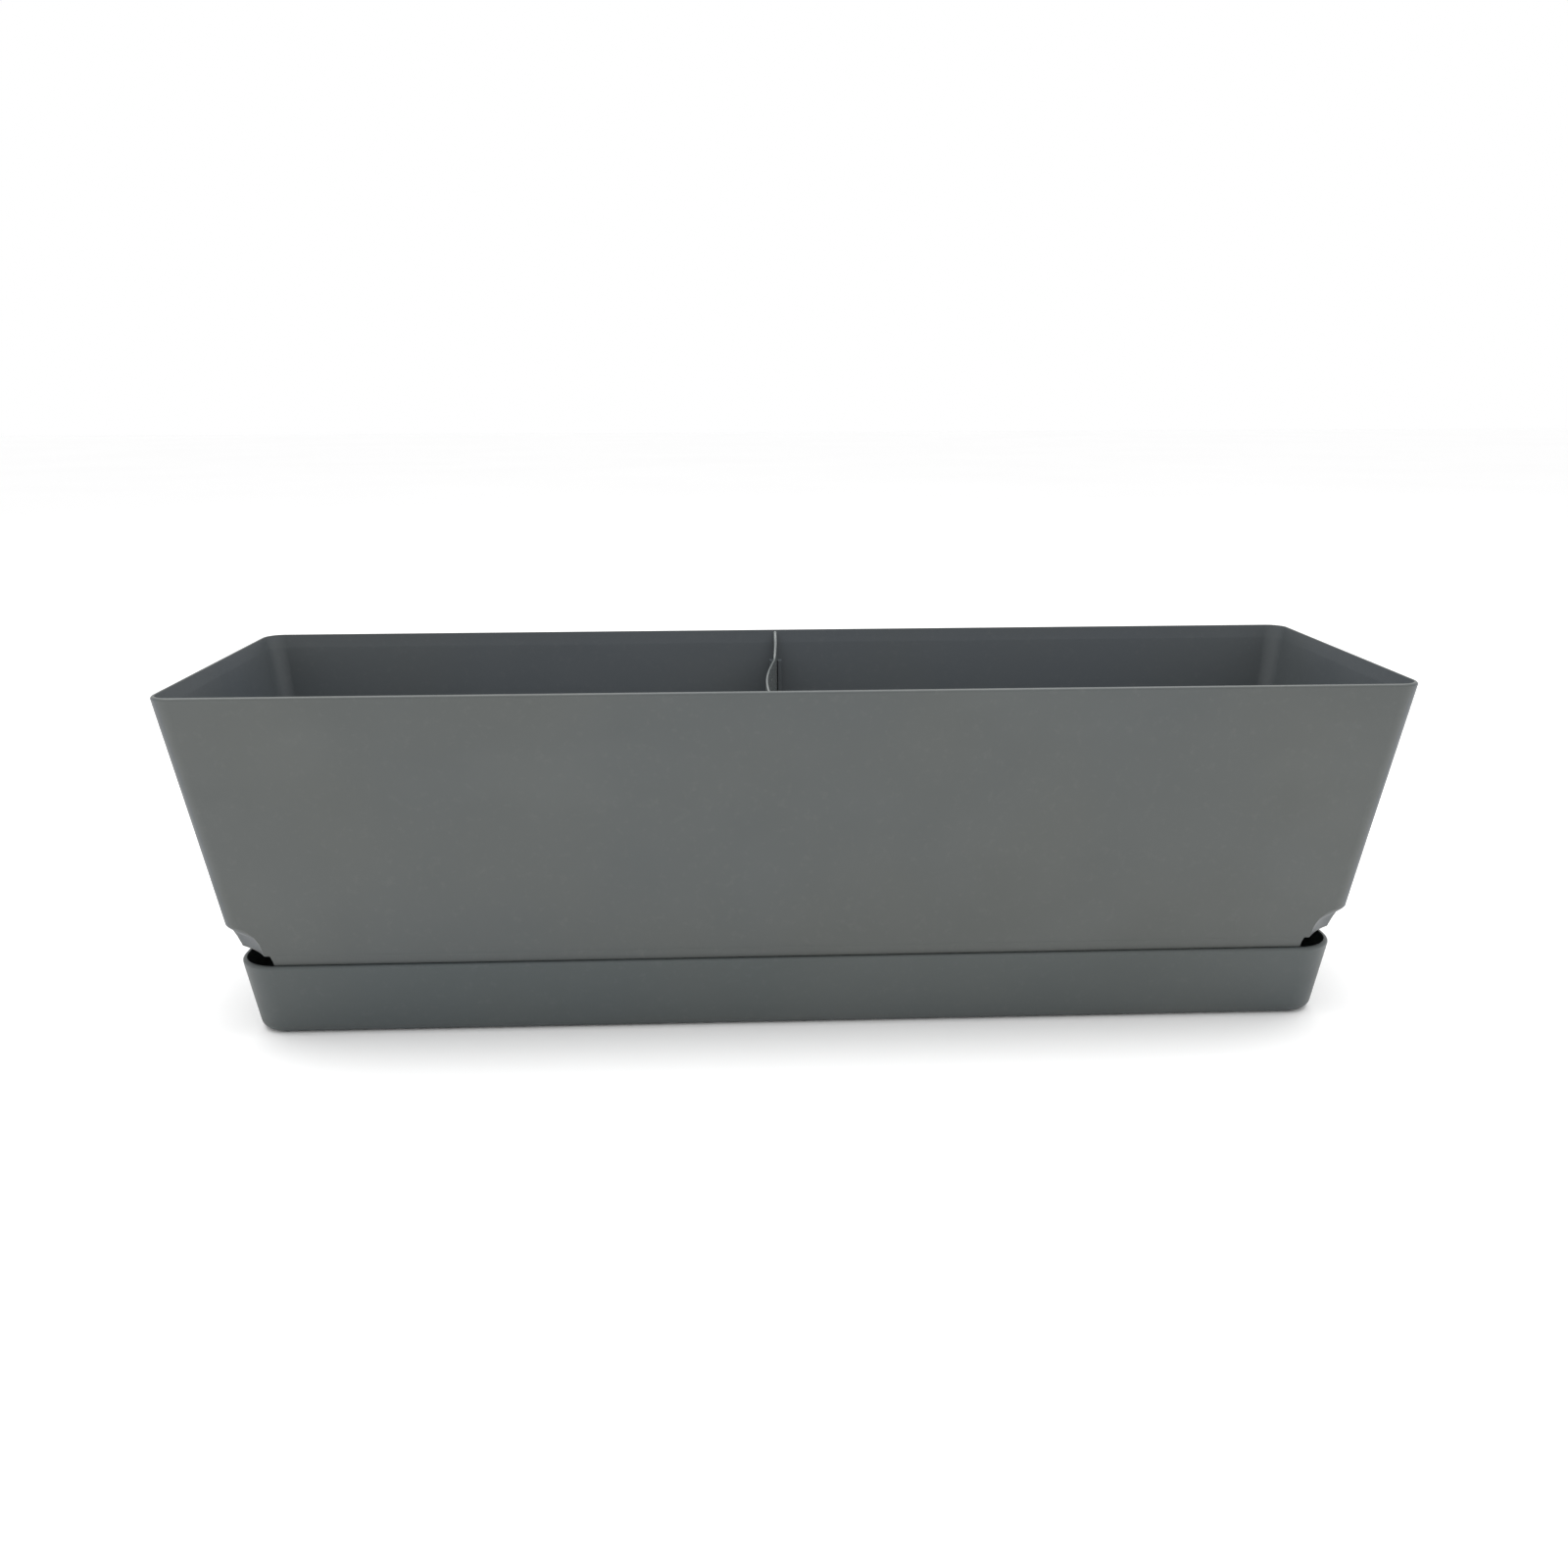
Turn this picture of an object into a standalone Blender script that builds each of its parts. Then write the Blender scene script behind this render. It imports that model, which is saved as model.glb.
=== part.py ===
"""Self-watering window-box planter: a tapered trough that sits in a reservoir tray.

Frame: metres, +Z up, +X along the planter, the front faces -Y.
The origin is the middle of the tray's underside.
"""
import math

import bmesh
import bpy

# Driving dimensions of the trough, in metres
LENGTH = 0.600            # rim, outside
WIDTH = 0.178             # rim, outside
HEIGHT = 0.181            # ground to rim
TAPER = 0.134             # inward lean of every wall, per metre of height
WALL = 0.0022             # moulded wall
GAP = 0.0004              # clearance between neighbouring pieces
RIM_CORNER = 0.0110       # vertical corner radius at the rim
CORNER_TAPER = 0.0125     # how much that radius shrinks, per metre down
RIM_LIP = 0.0018          # thinner lip above the step inside the rim
RIM_STEP = 0.0070         # depth of that step
RIM_STEP_SLOPE = 0.0010   # height over which the wall thickens below it
FLOOR_Z = 0.0450          # underside of the floor, just above the tray's rim
FLOOR_EDGE = 0.0010       # rounding under the floor's edge
FLOOR_FILLET = 0.0020     # rounding inside, between wall and floor

# The end walls curve in above the tray, and have a scoop to pour water through
COVE_TOP = 0.0595         # where the curve starts
COVE_FOOT = 0.0510        # where the wall is straight again
COVE_INSET = 0.0034       # how far the curve brings it in
COVE_CORNER = 0.0160      # size of the corner at the floor
COVE_CREASE = 0.0565      # from here down the corner is a flat cut, not a round
SCOOP_TOP = 0.0900
SCOOP_DEPTH = 0.0240      # at the floor, at mid-width
CURVE_ZS = (0.0480, COVE_FOOT, 0.0537, COVE_CREASE, COVE_TOP, 0.0670, 0.0750, 0.0830, SCOOP_TOP)

# Skirts under the front and back walls, which pass inside the tray
SKIRT_TOP = 0.0465
SKIRT_STEP = 0.0404       # below this height they step in
SKIRT_FOOT = 0.0290
SKIRT_HALF_LENGTH = 0.2605
SKIRT_STEP_IN = 0.0012
SKIRT_ARCH = 0.0020       # how far their ends curve out from the step to the wall
SKIRT_SINK = 0.00005      # keeps their outside just under the wall's outside

TRAY_HEIGHT = 0.0400
TRAY_LENGTH = 0.5622      # rim, outside: the ends carry on the line of the trough's ends
TRAY_WIDTH = 0.1448       # rim, outside: it stands just proud of the trough's front
TRAY_CORNER = 0.0205
TRAY_END_TAPER = 0.140
TRAY_SIDE_TAPER = 0.190
TRAY_WALL = 0.0018
TRAY_FLOOR = 0.0022
TRAY_FILLET = 0.0045      # round under the tray's edge
TRAY_RIM_EDGE = 0.0005
TRAY_LEAN_TURN = math.radians(67.5)  # how far the round turns before the wall goes straight up
TRAY_ROUND_SHARES = (0.0, 0.12, 0.45, 1.0)  # heights of the round's sections, of that turn's height

LEG_XS = (-0.140, 0.000, 0.140)
LEG_Y = 0.0450
LEG_RADIUS = 0.0090
LEG_DRAFT = 0.0012
DRAIN_XS = (-0.235, -0.170, -0.110, -0.040, 0.040, 0.110, 0.170, 0.235)
DRAIN_Y = 0.0300
DRAIN_RADIUS = 0.0030

# The cross brace is a thin web, bowed sideways, dropped into a guide on each long wall
BRACE_THICKNESS = 0.0018
BRACE_END_X = -0.0038     # X where it meets the walls
BRACE_BOW = 0.0078        # how far it bows towards -X at mid-width
BRACE_STRAIGHT = 0.92     # share of the way to each wall where the bow ends, inside the guides
BRACE_DEPTH = 0.0560      # at the ends
BRACE_ARCH = 0.0120       # rise of the lower edge at mid-width
BRACE_DIP = 0.0140        # drop of the top edge between its two shoulders
BRACE_SHOULDER = 0.0160   # length of each shoulder
BRACE_TOP = HEIGHT - 0.0006
GUIDE_REACH = 0.0065      # how far the guides stand off the wall
GUIDE_RIB = 0.0022        # thickness of the rib on each side of the slot
GUIDE_SLOT_REACH = 0.0091  # how far the slot's cutter stands off the wall, past the guides
GUIDE_SKIN = 0.0003       # left on the wall behind the slot
GUIDE_TOP = HEIGHT - 0.0170
GUIDE_STOP = 0.0030       # thickness of the stop under the brace

# Wick baskets hang in the floor, each with a felt strip
BASKET_XS = (-0.205, -0.075, 0.075, 0.205)
BASKET_HOLE = 0.0210      # radius of the hole in the floor
BASKET_FLANGE = 0.0265    # radius
BASKET_RIM = 0.0016       # thickness of the flange
BASKET_FOOT = 0.0165      # radius at the bottom
BASKET_BOTTOM = 0.0045    # height of the basket's underside above the ground
BASKET_WALL = 0.0016
BASKET_DRAIN = 0.0040     # radius
SLOT_WIDTH = 0.0034
SLOT_LOW = 0.0110
SLOT_HIGH = 0.0380
SLOT_PAIRS = 4
WICK_WIDTH = 0.0220
WICK_THICKNESS = 0.0030
WICK_BEND = 0.0060        # radius of the bend at the top of the basket
WICK_DROP = (0.0290, 0.0400)  # where it comes down off the flange, from the basket's axis
WICK_REACH = 0.0580       # its far end, from the basket's axis

CORNER_STEPS = 6
END_STEPS = 12
BRACE_STEPS = 20
ROUND_STEPS = 32
SMALL_STEPS = 12

# Colours are linear RGB
TROUGH_COLOUR = (0.135, 0.155, 0.150)
TRAY_COLOUR = (0.100, 0.112, 0.114)
BASKET_COLOUR = (0.035, 0.038, 0.038)
FELT_COLOUR = (0.620, 0.600, 0.540)


def clear_scene():
    for thing in list(bpy.data.objects):
        bpy.data.objects.remove(thing, do_unlink=True)


def new_collection(name, is_tools=False):
    collection = bpy.data.collections.new(name)
    bpy.context.scene.collection.children.link(collection)
    collection.hide_render = is_tools
    return collection


def new_material(name, colour, roughness):
    material = bpy.data.materials.new(name)
    material.use_nodes = True
    shader = material.node_tree.nodes["Principled BSDF"]
    shader.inputs["Base Color"].default_value = (*colour, 1.0)
    shader.inputs["Roughness"].default_value = roughness
    shader.inputs["Metallic"].default_value = 0.0
    return material


def new_object(name, collection, fill, *details):
    """Make an object from the mesh that fill(bm, *details) builds."""
    bm = bmesh.new()
    fill(bm, *details)
    bmesh.ops.recalc_face_normals(bm, faces=bm.faces)
    mesh = bpy.data.meshes.new(name)
    bm.to_mesh(mesh)
    bm.free()
    thing = bpy.data.objects.new(name, mesh)
    collection.objects.link(thing)
    return thing


def new_tool(name, collection, fill, *details):
    """Make a solid that only shapes others."""
    tool = new_object(name, collection, fill, *details)
    tool.hide_render = True
    tool.display_type = "WIRE"
    return tool


def boolean(target, operation, tool):
    step = target.modifiers.new(operation.title(), "BOOLEAN")
    step.operation = operation
    step.solver = "EXACT"
    step.object = tool


def shade(mesh, degrees=30.0):
    mesh.shade_smooth()
    mesh.set_sharp_from_angle(angle=math.radians(degrees))


def smooth_step(start, end, value):
    """0 at start, 1 at end, and level at both."""
    t = min(1.0, max(0.0, (value - start) / (end - start)))
    return t * t * (3.0 - 2.0 * t)


def share(start, end, value):
    """0 at start, 1 at end, and straight between."""
    return min(1.0, max(0.0, (value - start) / (end - start)))


def circle(radius, z, x, y, steps):
    angles = [math.tau * i / steps for i in range(steps)]
    return [(x + radius * math.cos(a), y + radius * math.sin(a), z) for a in angles]


def rounded_ring(half_length, half_width, corner, z, scoop=0.0, cut=0.0):
    """A rounded rectangle at height z, anticlockwise from above, with scooped ends.

    Its corners are round at a cut of 0 and straight at a cut of 1.
    """
    inner_x = half_length - corner
    inner_y = half_width - corner
    ring = []
    for quarter, (side_x, side_y) in enumerate(((1, 1), (-1, 1), (-1, -1), (1, -1))):
        for step in range(CORNER_STEPS + 1):
            t = step / CORNER_STEPS
            start = quarter * math.pi / 2
            turned = start + t * math.pi / 2
            along_x = math.cos(start) - t * (math.cos(start) + math.sin(start))
            along_y = math.sin(start) + t * (math.cos(start) - math.sin(start))
            x = side_x * inner_x + corner * ((1.0 - cut) * math.cos(turned) + cut * along_x)
            y = side_y * inner_y + corner * ((1.0 - cut) * math.sin(turned) + cut * along_y)
            ring.append((x, y, z))
        if side_x == side_y:
            continue
        for step in range(1, END_STEPS):
            t = 1.0 - 2.0 * step / END_STEPS
            dip = scoop * (0.5 + 0.5 * math.cos(math.pi * t))
            ring.append((side_x * (half_length - dip), side_y * inner_y * t, z))
    return ring


def loft(bm, rings):
    """Join rings of equal count, and close the first and the last with flat caps."""
    levels = [[bm.verts.new(point) for point in ring] for ring in rings]
    count = len(levels[0])
    for lower, upper in zip(levels, levels[1:]):
        for i in range(count):
            j = (i + 1) % count
            bm.faces.new((lower[i], lower[j], upper[j], upper[i]))
    bm.faces.new(levels[0])
    bm.faces.new(levels[-1])


def fill_cylinder(bm, radius, low, high, x, y, steps):
    loft(bm, [circle(radius, low, x, y, steps), circle(radius, high, x, y, steps)])


# The trough

def trough_half_length(z):
    inset = COVE_INSET * smooth_step(COVE_TOP, COVE_FOOT, z)
    return LENGTH / 2 - TAPER * (HEIGHT - z) - inset


def trough_half_width(z):
    return WIDTH / 2 - TAPER * (HEIGHT - z)


def trough_corner(z):
    plain = RIM_CORNER - CORNER_TAPER * (HEIGHT - z)
    return plain + (COVE_CORNER - plain) * share(COVE_TOP, FLOOR_Z, z)


def trough_ring(z, inset, at=None):
    """The trough's section at height z, moved in by inset and drawn at height at."""
    scoop = SCOOP_DEPTH * smooth_step(SCOOP_TOP, FLOOR_Z, z)
    cut = smooth_step(COVE_TOP, COVE_CREASE, z)
    return rounded_ring(trough_half_length(z) - inset, trough_half_width(z) - inset,
                        trough_corner(z) - inset, z if at is None else at, scoop, cut)


def fill_trough(bm):
    """Up the outside, over the rim, and down the inside to the floor."""
    floor_top = FLOOR_Z + WALL
    step_foot = HEIGHT - RIM_STEP
    rings = [trough_ring(FLOOR_Z, FLOOR_EDGE), trough_ring(FLOOR_Z + FLOOR_EDGE, 0.0)]
    rings += [trough_ring(z, 0.0) for z in CURVE_ZS]
    rings += [trough_ring(HEIGHT, 0.0), trough_ring(HEIGHT, RIM_LIP)]
    rings += [trough_ring(step_foot, RIM_LIP)]
    rings += [trough_ring(step_foot, WALL, step_foot - RIM_STEP_SLOPE)]
    rings += [trough_ring(z, WALL) for z in reversed(CURVE_ZS[1:])]
    rings += [trough_ring(floor_top + FLOOR_FILLET, WALL)]
    rings += [trough_ring(floor_top, WALL + FLOOR_FILLET)]
    loft(bm, rings)


def fill_skirt(bm, side):
    """A skirt that is flush with the wall above its step, and inside the tray below."""
    top = trough_half_width(SKIRT_TOP) - SKIRT_SINK
    step = trough_half_width(SKIRT_STEP) - SKIRT_SINK
    foot = trough_half_width(SKIRT_FOOT) - SKIRT_STEP_IN
    behind = SKIRT_STEP_IN + WALL
    section = ((top, SKIRT_TOP, SKIRT_ARCH), (step, SKIRT_STEP, 0.0),
               (step - SKIRT_STEP_IN, SKIRT_STEP, 0.0), (foot, SKIRT_FOOT, -SKIRT_ARCH),
               (foot - WALL, SKIRT_FOOT, -SKIRT_ARCH), (step - behind, SKIRT_STEP, 0.0),
               (top - behind, SKIRT_TOP, SKIRT_ARCH))
    loft(bm, [[(end * (SKIRT_HALF_LENGTH + arch), side * y, z) for y, z, arch in section]
              for end in (-1, 1)])


def fill_leg(bm, x, y):
    """A tube under the floor, open at its foot, just off the tray's floor."""
    foot = TRAY_FLOOR + GAP
    sections = ((LEG_RADIUS, FLOOR_Z + WALL / 2), (LEG_RADIUS - LEG_DRAFT, foot),
                (LEG_RADIUS - LEG_DRAFT - WALL, foot), (LEG_RADIUS - WALL, FLOOR_Z - WALL))
    loft(bm, [circle(radius, z, x, y, 2 * SMALL_STEPS) for radius, z in sections])


def brace_x(t):
    """Where the brace's middle plane is, for t from -1 at the front wall to 1 at the back."""
    return BRACE_END_X - BRACE_BOW * math.cos(math.pi / 2 * min(1.0, abs(t) / BRACE_STRAIGHT))


def guide_box(side, half_thickness, proud, sunk, low, high):
    """Rings of a block around the brace's end, from proud off a long wall's face to sunk in it."""
    left = BRACE_END_X - half_thickness
    right = BRACE_END_X + half_thickness
    rings = []
    for z in (low, high):
        face = trough_half_width(z) - WALL
        near = side * (face - proud)
        far = side * (face + sunk)
        rings.append([(left, near, z), (right, near, z), (right, far, z), (left, far, z)])
    return rings


def fill_guide(bm, side):
    low = BRACE_TOP - BRACE_DEPTH - GAP - GUIDE_STOP
    half = BRACE_THICKNESS / 2 + GAP + GUIDE_RIB
    loft(bm, guide_box(side, half, GUIDE_REACH, WALL / 2, low, GUIDE_TOP))


def fill_guide_slot(bm, side):
    low = BRACE_TOP - BRACE_DEPTH - GAP
    half = BRACE_THICKNESS / 2 + GAP
    high = GUIDE_TOP + GUIDE_STOP
    loft(bm, guide_box(side, half, GUIDE_SLOT_REACH, -GUIDE_SKIN, low, high))


def make_trough(parts, tools, material):
    trough = new_object("planter_box", parts, fill_trough)
    for side in (-1, 1):
        boolean(trough, "UNION", new_tool("skirt_solid", tools, fill_skirt, side))
        boolean(trough, "UNION", new_tool("guide_solid", tools, fill_guide, side))
        boolean(trough, "DIFFERENCE", new_tool("guide_slot", tools, fill_guide_slot, side))
    for x in LEG_XS:
        for y in (-LEG_Y, LEG_Y):
            boolean(trough, "UNION", new_tool("leg_solid", tools, fill_leg, x, y))
    low = FLOOR_Z - WALL
    high = FLOOR_Z + 2 * WALL
    for x in BASKET_XS:
        boolean(trough, "DIFFERENCE", new_tool("basket_hole", tools, fill_cylinder,
                                               BASKET_HOLE, low, high, x, 0.0, ROUND_STEPS))
    for x in DRAIN_XS:
        for y in (-DRAIN_Y, DRAIN_Y):
            boolean(trough, "DIFFERENCE", new_tool("drain_hole", tools, fill_cylinder,
                                                   DRAIN_RADIUS, low, high, x, y, SMALL_STEPS))
    trough.data.materials.append(material)
    shade(trough.data)


# The tray

def tray_ring(z, inset, at=None):
    """The tray's section at height z, with its round lower edge, moved in by inset."""
    below = max(0.0, TRAY_FILLET - z)
    fillet = TRAY_FILLET - math.sqrt(TRAY_FILLET ** 2 - below ** 2)
    length = TRAY_LENGTH / 2 - TRAY_END_TAPER * (TRAY_HEIGHT - z) - fillet - inset
    width = TRAY_WIDTH / 2 - TRAY_SIDE_TAPER * (TRAY_HEIGHT - z) - fillet - inset
    corner = TRAY_CORNER - TRAY_END_TAPER * (TRAY_HEIGHT - z) - fillet / 2 - inset
    return rounded_ring(length, width, corner, z if at is None else at)


def fill_tray(bm):
    rim = TRAY_HEIGHT - TRAY_RIM_EDGE
    lean = TRAY_FILLET * (1.0 - math.cos(TRAY_LEAN_TURN))
    rings = [tray_ring(lean * part, 0.0) for part in TRAY_ROUND_SHARES]
    rings += [tray_ring(TRAY_FILLET, 0.0)]
    rings += [tray_ring(rim, 0.0), tray_ring(TRAY_HEIGHT, TRAY_RIM_EDGE)]
    rings += [tray_ring(TRAY_HEIGHT, TRAY_WALL - TRAY_RIM_EDGE), tray_ring(rim, TRAY_WALL)]
    rings += [tray_ring(lean, TRAY_WALL, TRAY_FLOOR)]
    loft(bm, rings)


def make_tray(parts, material):
    tray = new_object("reservoir_tray", parts, fill_tray)
    tray.data.materials.append(material)
    shade(tray.data)


# The brace

def brace_edges(t):
    """Heights of the brace's lower and upper edges at t."""
    low = BRACE_TOP - BRACE_DEPTH + BRACE_ARCH * math.cos(math.pi / 2 * t) ** 2
    from_wall = (1.0 - abs(t)) * WIDTH / 2
    high = BRACE_TOP - BRACE_DIP * smooth_step(0.0, BRACE_SHOULDER, from_wall)
    return low, high


def fill_brace(bm):
    """A web from wall to wall: its ends follow the walls' lean, and both its edges curve."""
    rows = []
    for level in (0.0, 0.5, 1.0):
        row = []
        for step in range(BRACE_STEPS + 1):
            t = math.sin(math.pi / 2 * (2.0 * step / BRACE_STEPS - 1.0))
            low, high = brace_edges(t)
            z = low + (high - low) * level
            reach = trough_half_width(z) - WALL - GUIDE_SKIN - GAP
            row.append(bm.verts.new((brace_x(t), t * reach, z)))
        rows.append(row)
    for lower, upper in zip(rows, rows[1:]):
        for i in range(BRACE_STEPS):
            bm.faces.new((lower[i], lower[i + 1], upper[i + 1], upper[i]))


def make_brace(parts, material):
    brace = new_object("cross_brace", parts, fill_brace)
    brace.data.materials.append(material)
    thicken(brace, BRACE_THICKNESS)
    shade(brace.data)


def thicken(thing, thickness):
    solid = thing.modifiers.new("Thickness", "SOLIDIFY")
    solid.thickness = thickness
    solid.offset = 0.0
    solid.use_even_offset = True


# The wick baskets and their felt

def fill_basket_profile(bm):
    """Half of the basket's section, from the inside bottom over the flange to the outside."""
    seat = FLOOR_Z + WALL + GAP
    top = seat + BASKET_RIM
    neck = BASKET_HOLE - GAP
    inside = BASKET_BOTTOM + BASKET_WALL
    points = ((0.0, inside), (BASKET_FOOT - BASKET_WALL, inside), (neck - BASKET_WALL, top),
              (BASKET_FLANGE, top), (BASKET_FLANGE, seat), (neck, seat),
              (BASKET_FOOT, BASKET_BOTTOM), (0.0, BASKET_BOTTOM))
    verts = [bm.verts.new((radius, 0.0, z)) for radius, z in points]
    for upper, lower in zip(verts, verts[1:]):
        bm.edges.new((upper, lower))


def fill_slot_pair(bm, angle):
    """A bar through the axis, which cuts two slots opposite each other."""
    along = (math.cos(angle), math.sin(angle))
    reach = BASKET_FLANGE
    half = SLOT_WIDTH / 2
    corners = ((reach, half), (-reach, half), (-reach, -half), (reach, -half))
    flat = [(u * along[0] - v * along[1], u * along[1] + v * along[0]) for u, v in corners]
    loft(bm, [[(x, y, z) for x, y in flat] for z in (SLOT_LOW, SLOT_HIGH)])


def basket_mesh(tools):
    """The basket at the origin, turned, slotted and drained, as one finished mesh."""
    master = new_object("basket_master", tools, fill_basket_profile)
    turn = master.modifiers.new("Turn", "SCREW")
    turn.steps = ROUND_STEPS
    turn.render_steps = ROUND_STEPS
    turn.use_merge_vertices = True
    turn.merge_threshold = 0.0001
    slot_tools = []
    for pair in range(SLOT_PAIRS):
        angle = (pair + 0.5) * math.pi / SLOT_PAIRS
        slot_tools.append(new_tool("basket_slot", tools, fill_slot_pair, angle))
    slot_tools.append(new_tool("basket_drain", tools, fill_cylinder, BASKET_DRAIN,
                               0.0, BASKET_BOTTOM + 2 * BASKET_WALL, 0.0, 0.0, SMALL_STEPS))
    for tool in slot_tools:
        boolean(master, "DIFFERENCE", tool)
    bpy.context.view_layer.update()
    depsgraph = bpy.context.evaluated_depsgraph_get()
    mesh = bpy.data.meshes.new_from_object(master.evaluated_get(depsgraph))
    for thing in [master, *slot_tools]:
        bpy.data.objects.remove(thing, do_unlink=True)
    return mesh


def make_baskets(parts, tools, material):
    mesh = basket_mesh(tools)
    mesh.materials.clear()
    mesh.materials.append(material)
    shade(mesh)
    for number, x in enumerate(BASKET_XS, start=1):
        basket = bpy.data.objects.new(f"wick_basket_{number}", mesh)
        basket.location = (x, 0.0, 0.0)
        parts.objects.link(basket)


def wick_path():
    """The strip's middle line: up the basket, over its flange and along the floor."""
    foot = BASKET_BOTTOM + BASKET_WALL + 2 * GAP
    rest = FLOOR_Z + WALL + GAP + WICK_THICKNESS / 2
    over = rest + GAP + BASKET_RIM
    bend = over - WICK_BEND
    path = [(0.0, foot), (0.0, bend)]
    for step in range(1, 6):
        angle = step / 5 * math.pi / 2
        path.append((WICK_BEND * (1.0 - math.cos(angle)), bend + WICK_BEND * math.sin(angle)))
    for step in range(7):
        x = WICK_DROP[0] + (WICK_DROP[1] - WICK_DROP[0]) * step / 6
        path.append((x, over + (rest - over) * smooth_step(*WICK_DROP, x)))
    path.append((WICK_REACH, rest))
    return path


def fill_wick(bm, side):
    sides = []
    for y in (-WICK_WIDTH / 2, WICK_WIDTH / 2):
        sides.append([bm.verts.new((side * x, y, z)) for x, z in wick_path()])
    for i in range(len(sides[0]) - 1):
        bm.faces.new((sides[0][i], sides[0][i + 1], sides[1][i + 1], sides[1][i]))


def make_wicks(parts, material):
    """Each outer strip lies inwards and each inner strip outwards."""
    for number, x in enumerate(BASKET_XS, start=1):
        side = -1 if number in (2, 4) else 1
        wick = new_object(f"wick_strip_{number}", parts, fill_wick, side)
        wick.location = (x, 0.0, 0.0)
        wick.data.materials.append(material)
        thicken(wick, WICK_THICKNESS)
        shade(wick.data)


def main():
    clear_scene()
    parts = new_collection("self_watering_planter")
    tools = new_collection("cutters", is_tools=True)
    trough_plastic = new_material("trough_plastic", TROUGH_COLOUR, 0.45)
    tray_plastic = new_material("tray_plastic", TRAY_COLOUR, 0.45)
    brace_plastic = new_material("brace_plastic", TROUGH_COLOUR, 0.40)
    basket_plastic = new_material("basket_plastic", BASKET_COLOUR, 0.50)
    felt = new_material("wick_felt", FELT_COLOUR, 0.95)
    make_tray(parts, tray_plastic)
    make_trough(parts, tools, trough_plastic)
    make_brace(parts, brace_plastic)
    make_baskets(parts, tools, basket_plastic)
    make_wicks(parts, felt)


main()
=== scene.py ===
"""Self-watering window-box planter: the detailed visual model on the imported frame."""
import math

import bmesh
import bpy
from mathutils import Matrix, Vector, noise


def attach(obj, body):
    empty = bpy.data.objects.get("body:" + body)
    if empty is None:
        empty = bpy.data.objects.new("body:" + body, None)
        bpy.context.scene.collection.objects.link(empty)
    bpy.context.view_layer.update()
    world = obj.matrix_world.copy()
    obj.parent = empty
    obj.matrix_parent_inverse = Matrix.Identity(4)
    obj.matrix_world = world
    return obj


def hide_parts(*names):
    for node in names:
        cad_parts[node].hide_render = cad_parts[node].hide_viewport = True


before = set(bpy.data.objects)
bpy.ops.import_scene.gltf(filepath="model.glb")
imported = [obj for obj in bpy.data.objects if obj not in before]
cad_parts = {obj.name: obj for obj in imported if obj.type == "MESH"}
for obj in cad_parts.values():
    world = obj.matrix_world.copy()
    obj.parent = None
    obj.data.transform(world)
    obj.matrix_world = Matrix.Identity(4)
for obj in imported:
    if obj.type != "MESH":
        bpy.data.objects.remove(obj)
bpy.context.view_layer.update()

# The trough, in metres
LENGTH = 0.600
WIDTH = 0.178
HEIGHT = 0.181
TAPER = 0.134             # how far the walls lean out for each metre up
WALL = 0.0022
GAP = 0.0004              # clearance between pieces
RIM_CORNER = 0.0110
CORNER_TAPER = 0.0125     # how much the corners' radius shrinks for each metre down
RIM_LIP = 0.0018          # thickness of the lip at the rim
RIM_ROUND = 0.0014        # outer rounding of the rim
RIM_INNER_ROUND = 0.0004
RIM_STEP = 0.0070         # height of the lip
RIM_STEP_SLOPE = 0.0006   # height over which the lip widens into the wall
FLOOR_Z = 0.0450
FLOOR_EDGE = 0.0010
FLOOR_FILLET = 0.0020
COVE_TOP = 0.0615         # the coves are the cut corners above the tray
COVE_FOOT = 0.0510
COVE_INSET = 0.0012
COVE_CORNER = 0.0160
COVE_CREASE = 0.0530      # from here down the corner is a cut, not a round
COVE_CUT = 1.25           # 1 is a flat cut and more is a hollow one
SCOOP_TOP = 0.0900        # the scoops are the hollows in the end walls
SCOOP_DEPTH = 0.0240
SKIRT_TOP = 0.0465
SKIRT_STEP = 0.0401
SKIRT_FOOT = 0.0290
SKIRT_HALF_LENGTH = 0.2605
SKIRT_STEP_IN = 0.0012    # how far the skirt steps in behind the tray's rim
SKIRT_ARCH = 0.0020
SKIRT_SINK = 0.00005      # how far the skirt's face lies behind the wall's
LEG_XS = (-0.140, 0.000, 0.140)
LEG_Y = 0.0450
LEG_RADIUS = 0.0090
LEG_DRAFT = 0.0012
DRAIN_XS = (-0.235, -0.170, -0.110, -0.040, 0.040, 0.110, 0.170, 0.235)
DRAIN_Y = 0.0300
DRAIN_RADIUS = 0.0030

TRAY_HEIGHT = 0.0400
TRAY_LENGTH = 0.5622
TRAY_WIDTH = 0.1448
TRAY_CORNER = 0.0205
TRAY_END_TAPER = 0.140
TRAY_SIDE_TAPER = 0.190
TRAY_WALL = 0.0018
TRAY_FLOOR = 0.0022
TRAY_FILLET = 0.0045
TRAY_INNER_FOOT = 1.6 * TRAY_FLOOR   # where the inside's wall starts to curve into its floor
TRAY_INNER_ROUND = 0.0012
TRAY_ROUND = 0.0015       # outer rounding of the tray's rim
TRAY_EDGE = 0.0003        # inner rounding of the tray's rim
TRAY_BEAD = 0.0004        # how far the rim thickens towards the trough

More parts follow.
